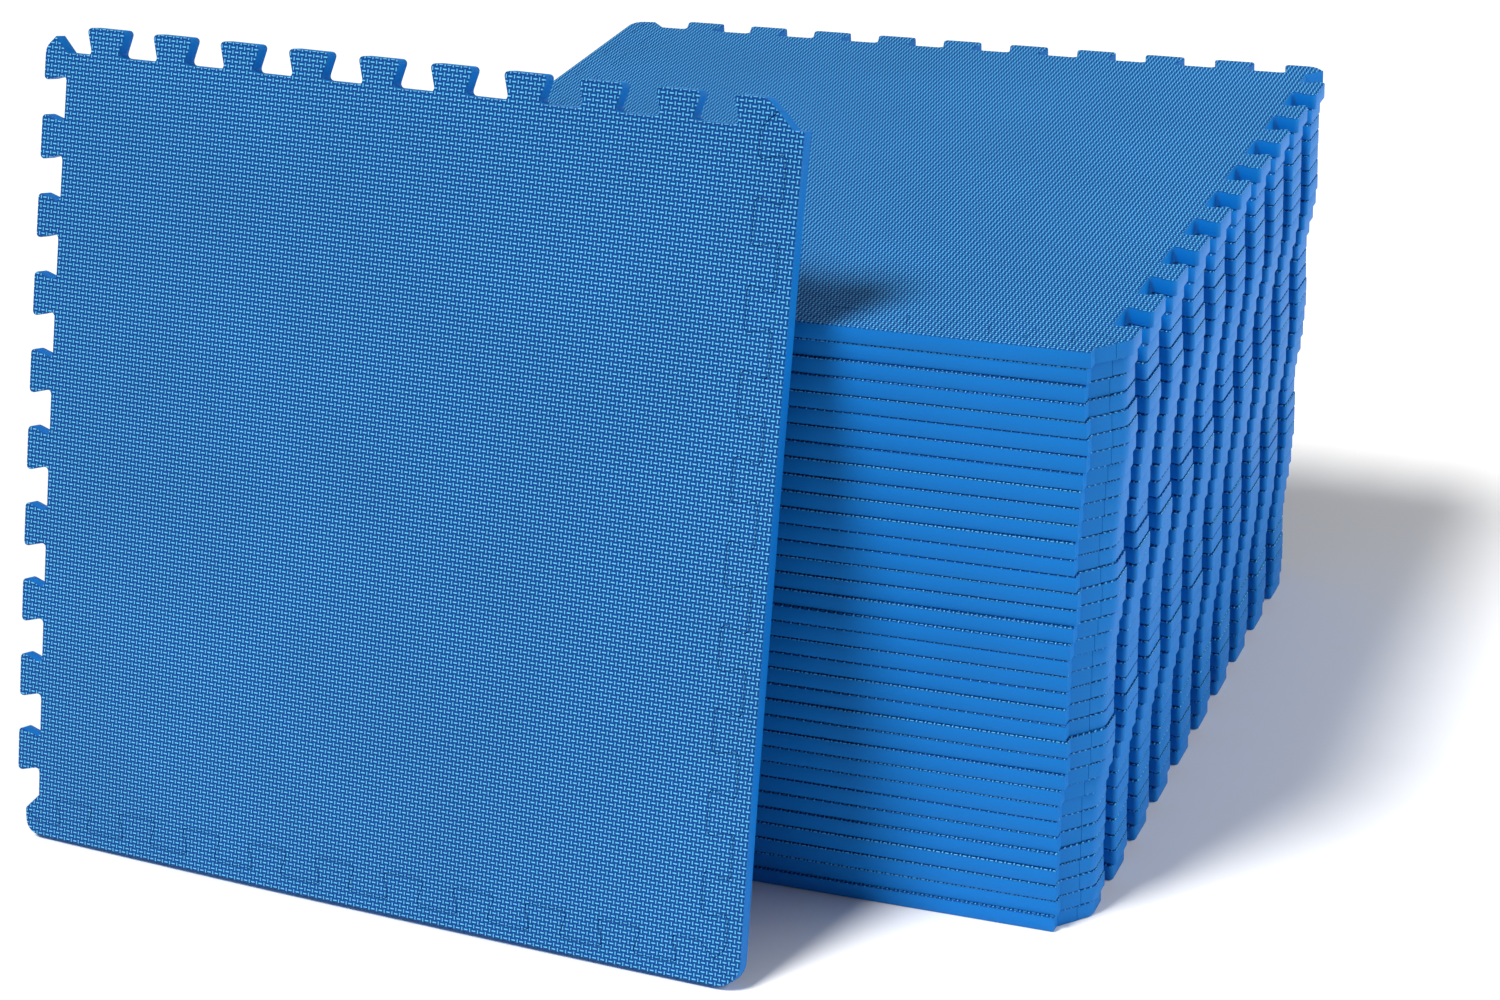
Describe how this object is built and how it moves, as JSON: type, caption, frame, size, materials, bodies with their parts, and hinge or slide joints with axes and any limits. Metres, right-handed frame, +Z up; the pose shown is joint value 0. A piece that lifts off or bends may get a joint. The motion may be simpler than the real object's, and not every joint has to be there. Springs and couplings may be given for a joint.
{
  "type": "blocking mats",
  "caption": "Stack of interlocking foam blocking mats with straight clip-on borders, and one more mat leaning on its front edge.",
  "frame": {"origin": "under the centre of the bottom mat's tile, on the surface that the stack stands on", "axes": "+Z up; the stack's straight borders face -Y (front) and -X, its free tabs face +X and +Y, and the leaning mat stands in front, on the -Y side"},
  "size_m": [0.8778, 0.8153, 0.6191],
  "materials": {
    "foam": "closed-cell foam, embossed basket-weave face and smooth cut edges"
  },
  "bodies": {
    "mat_01": {"stack_mat_01": "foam"},
    "mat_02": {"stack_mat_02": "foam"},
    "mat_03": {"stack_mat_03": "foam"},
    "mat_04": {"stack_mat_04": "foam"},
    "mat_05": {"stack_mat_05": "foam"},
    "mat_06": {"stack_mat_06": "foam"},
    "mat_07": {"stack_mat_07": "foam"},
    "mat_08": {"stack_mat_08": "foam"},
    "mat_09": {"stack_mat_09": "foam"},
    "mat_10": {"stack_mat_10": "foam"},
    "mat_11": {"stack_mat_11": "foam"},
    "mat_12": {"stack_mat_12": "foam"},
    "mat_13": {"stack_mat_13": "foam"},
    "mat_14": {"stack_mat_14": "foam"},
    "mat_15": {"stack_mat_15": "foam"},
    "mat_16": {"stack_mat_16": "foam"},
    "mat_17": {"stack_mat_17": "foam"},
    "mat_18": {"stack_mat_18": "foam"},
    "mat_19": {"stack_mat_19": "foam"},
    "mat_20": {"stack_mat_20": "foam"},
    "mat_21": {"stack_mat_21": "foam"},
    "mat_22": {"stack_mat_22": "foam"},
    "mat_23": {"stack_mat_23": "foam"},
    "mat_24": {"stack_mat_24": "foam"},
    "mat_25": {"stack_mat_25": "foam"},
    "mat_26": {"stack_mat_26": "foam"},
    "mat_27": {"stack_mat_27": "foam"},
    "mat_28": {"stack_mat_28": "foam"},
    "mat_29": {"stack_mat_29": "foam"},
    "mat_30": {"stack_mat_30": "foam"},
    "mat_31": {"stack_mat_31": "foam"},
    "mat_32": {"stack_mat_32": "foam"},
    "mat_33": {"stack_mat_33_tile": "foam", "stack_mat_33_front_border": "foam", "stack_mat_33_left_border": "foam"},
    "mat_34": {"stack_mat_34_tile": "foam", "stack_mat_34_front_border": "foam", "stack_mat_34_left_border": "foam"},
    "mat_35": {"stack_mat_35_tile": "foam", "stack_mat_35_front_border": "foam", "stack_mat_35_left_border": "foam"},
    "leaning_mat": {"leaning_mat_tile": "foam"},
    "leaning_right_border": {"leaning_mat_right_border": "foam"},
    "leaning_bottom_border": {"leaning_mat_bottom_border": "foam"}
  },
  "joints": [
    {"name": "leaning_mat_tilt", "type": "hinge", "parent": "mat_01", "child": "leaning_mat", "pos_m": [-0.518, -0.438, 0.00365], "axis": [-0.9982, 0.0605, 0], "range_deg": [-106, 0]},
    {"name": "leaning_right_border_pull", "type": "slide", "parent": "leaning_mat", "child": "leaning_right_border", "axis": [-0.058, -0.9561, 0.2874], "range_m": [0, 0.04]},
    {"name": "leaning_bottom_border_pull", "type": "slide", "parent": "leaning_mat", "child": "leaning_bottom_border", "axis": [-0.058, -0.9561, 0.2874], "range_m": [0, 0.04]},
    {"name": "lift_mat_35", "type": "slide", "parent": "mat_34", "child": "mat_35", "axis": [0.0174, 0.2868, 0.9578], "range_m": [0, 0.05]},
    {"name": "lift_mat_34", "type": "slide", "parent": "mat_33", "child": "mat_34", "axis": [0.0174, 0.2868, 0.9578], "range_m": [0, 0.05]},
    {"name": "lift_mat_33", "type": "slide", "parent": "mat_32", "child": "mat_33", "axis": [0.0174, 0.2868, 0.9578], "range_m": [0, 0.05]},
    {"name": "lift_mat_32", "type": "slide", "parent": "mat_31", "child": "mat_32", "axis": [0.0174, 0.2868, 0.9578], "range_m": [0, 0.05]},
    {"name": "lift_mat_31", "type": "slide", "parent": "mat_30", "child": "mat_31", "axis": [0.0174, 0.2868, 0.9578], "range_m": [0, 0.05]},
    {"name": "lift_mat_30", "type": "slide", "parent": "mat_29", "child": "mat_30", "axis": [0.0174, 0.2868, 0.9578], "range_m": [0, 0.05]},
    {"name": "lift_mat_29", "type": "slide", "parent": "mat_28", "child": "mat_29", "axis": [0.0174, 0.2868, 0.9578], "range_m": [0, 0.05]},
    {"name": "lift_mat_28", "type": "slide", "parent": "mat_27", "child": "mat_28", "axis": [0.0174, 0.2868, 0.9578], "range_m": [0, 0.05]},
    {"name": "lift_mat_27", "type": "slide", "parent": "mat_26", "child": "mat_27", "axis": [0.0174, 0.2868, 0.9578], "range_m": [0, 0.05]},
    {"name": "lift_mat_26", "type": "slide", "parent": "mat_25", "child": "mat_26", "axis": [0.0174, 0.2868, 0.9578], "range_m": [0, 0.05]},
    {"name": "lift_mat_25", "type": "slide", "parent": "mat_24", "child": "mat_25", "axis": [0.0174, 0.2868, 0.9578], "range_m": [0, 0.05]},
    {"name": "lift_mat_24", "type": "slide", "parent": "mat_23", "child": "mat_24", "axis": [0.0174, 0.2868, 0.9578], "range_m": [0, 0.05]},
    {"name": "lift_mat_23", "type": "slide", "parent": "mat_22", "child": "mat_23", "axis": [0.0174, 0.2868, 0.9578], "range_m": [0, 0.05]},
    {"name": "lift_mat_22", "type": "slide", "parent": "mat_21", "child": "mat_22", "axis": [0.0174, 0.2868, 0.9578], "range_m": [0, 0.05]},
    {"name": "lift_mat_21", "type": "slide", "parent": "mat_20", "child": "mat_21", "axis": [0.0174, 0.2868, 0.9578], "range_m": [0, 0.05]},
    {"name": "lift_mat_20", "type": "slide", "parent": "mat_19", "child": "mat_20", "axis": [0.0174, 0.2868, 0.9578], "range_m": [0, 0.05]},
    {"name": "lift_mat_19", "type": "slide", "parent": "mat_18", "child": "mat_19", "axis": [0.0174, 0.2868, 0.9578], "range_m": [0, 0.05]},
    {"name": "lift_mat_18", "type": "slide", "parent": "mat_17", "child": "mat_18", "axis": [0.0174, 0.2868, 0.9578], "range_m": [0, 0.05]},
    {"name": "lift_mat_17", "type": "slide", "parent": "mat_16", "child": "mat_17", "axis": [0.0174, 0.2868, 0.9578], "range_m": [0, 0.05]},
    {"name": "lift_mat_16", "type": "slide", "parent": "mat_15", "child": "mat_16", "axis": [0.0174, 0.2868, 0.9578], "range_m": [0, 0.05]},
    {"name": "lift_mat_15", "type": "slide", "parent": "mat_14", "child": "mat_15", "axis": [0.0174, 0.2868, 0.9578], "range_m": [0, 0.05]},
    {"name": "lift_mat_14", "type": "slide", "parent": "mat_13", "child": "mat_14", "axis": [0.0174, 0.2868, 0.9578], "range_m": [0, 0.05]},
    {"name": "lift_mat_13", "type": "slide", "parent": "mat_12", "child": "mat_13", "axis": [0.0174, 0.2868, 0.9578], "range_m": [0, 0.05]},
    {"name": "lift_mat_12", "type": "slide", "parent": "mat_11", "child": "mat_12", "axis": [0.0174, 0.2868, 0.9578], "range_m": [0, 0.05]},
    {"name": "lift_mat_11", "type": "slide", "parent": "mat_10", "child": "mat_11", "axis": [0.0174, 0.2868, 0.9578], "range_m": [0, 0.05]},
    {"name": "lift_mat_10", "type": "slide", "parent": "mat_09", "child": "mat_10", "axis": [0.0174, 0.2868, 0.9578], "range_m": [0, 0.05]},
    {"name": "lift_mat_09", "type": "slide", "parent": "mat_08", "child": "mat_09", "axis": [0.0174, 0.2868, 0.9578], "range_m": [0, 0.05]},
    {"name": "lift_mat_08", "type": "slide", "parent": "mat_07", "child": "mat_08", "axis": [0.0174, 0.2868, 0.9578], "range_m": [0, 0.05]},
    {"name": "lift_mat_07", "type": "slide", "parent": "mat_06", "child": "mat_07", "axis": [0.0174, 0.2868, 0.9578], "range_m": [0, 0.05]},
    {"name": "lift_mat_06", "type": "slide", "parent": "mat_05", "child": "mat_06", "axis": [0.0174, 0.2868, 0.9578], "range_m": [0, 0.05]},
    {"name": "lift_mat_05", "type": "slide", "parent": "mat_04", "child": "mat_05", "axis": [0.0174, 0.2868, 0.9578], "range_m": [0, 0.05]},
    {"name": "lift_mat_04", "type": "slide", "parent": "mat_03", "child": "mat_04", "axis": [0.0174, 0.2868, 0.9578], "range_m": [0, 0.05]},
    {"name": "lift_mat_03", "type": "slide", "parent": "mat_02", "child": "mat_03", "axis": [0.0174, 0.2868, 0.9578], "range_m": [0, 0.05]},
    {"name": "lift_mat_02", "type": "slide", "parent": "mat_01", "child": "mat_02", "axis": [0.0174, 0.2868, 0.9578], "range_m": [0, 0.05]}
  ]
}
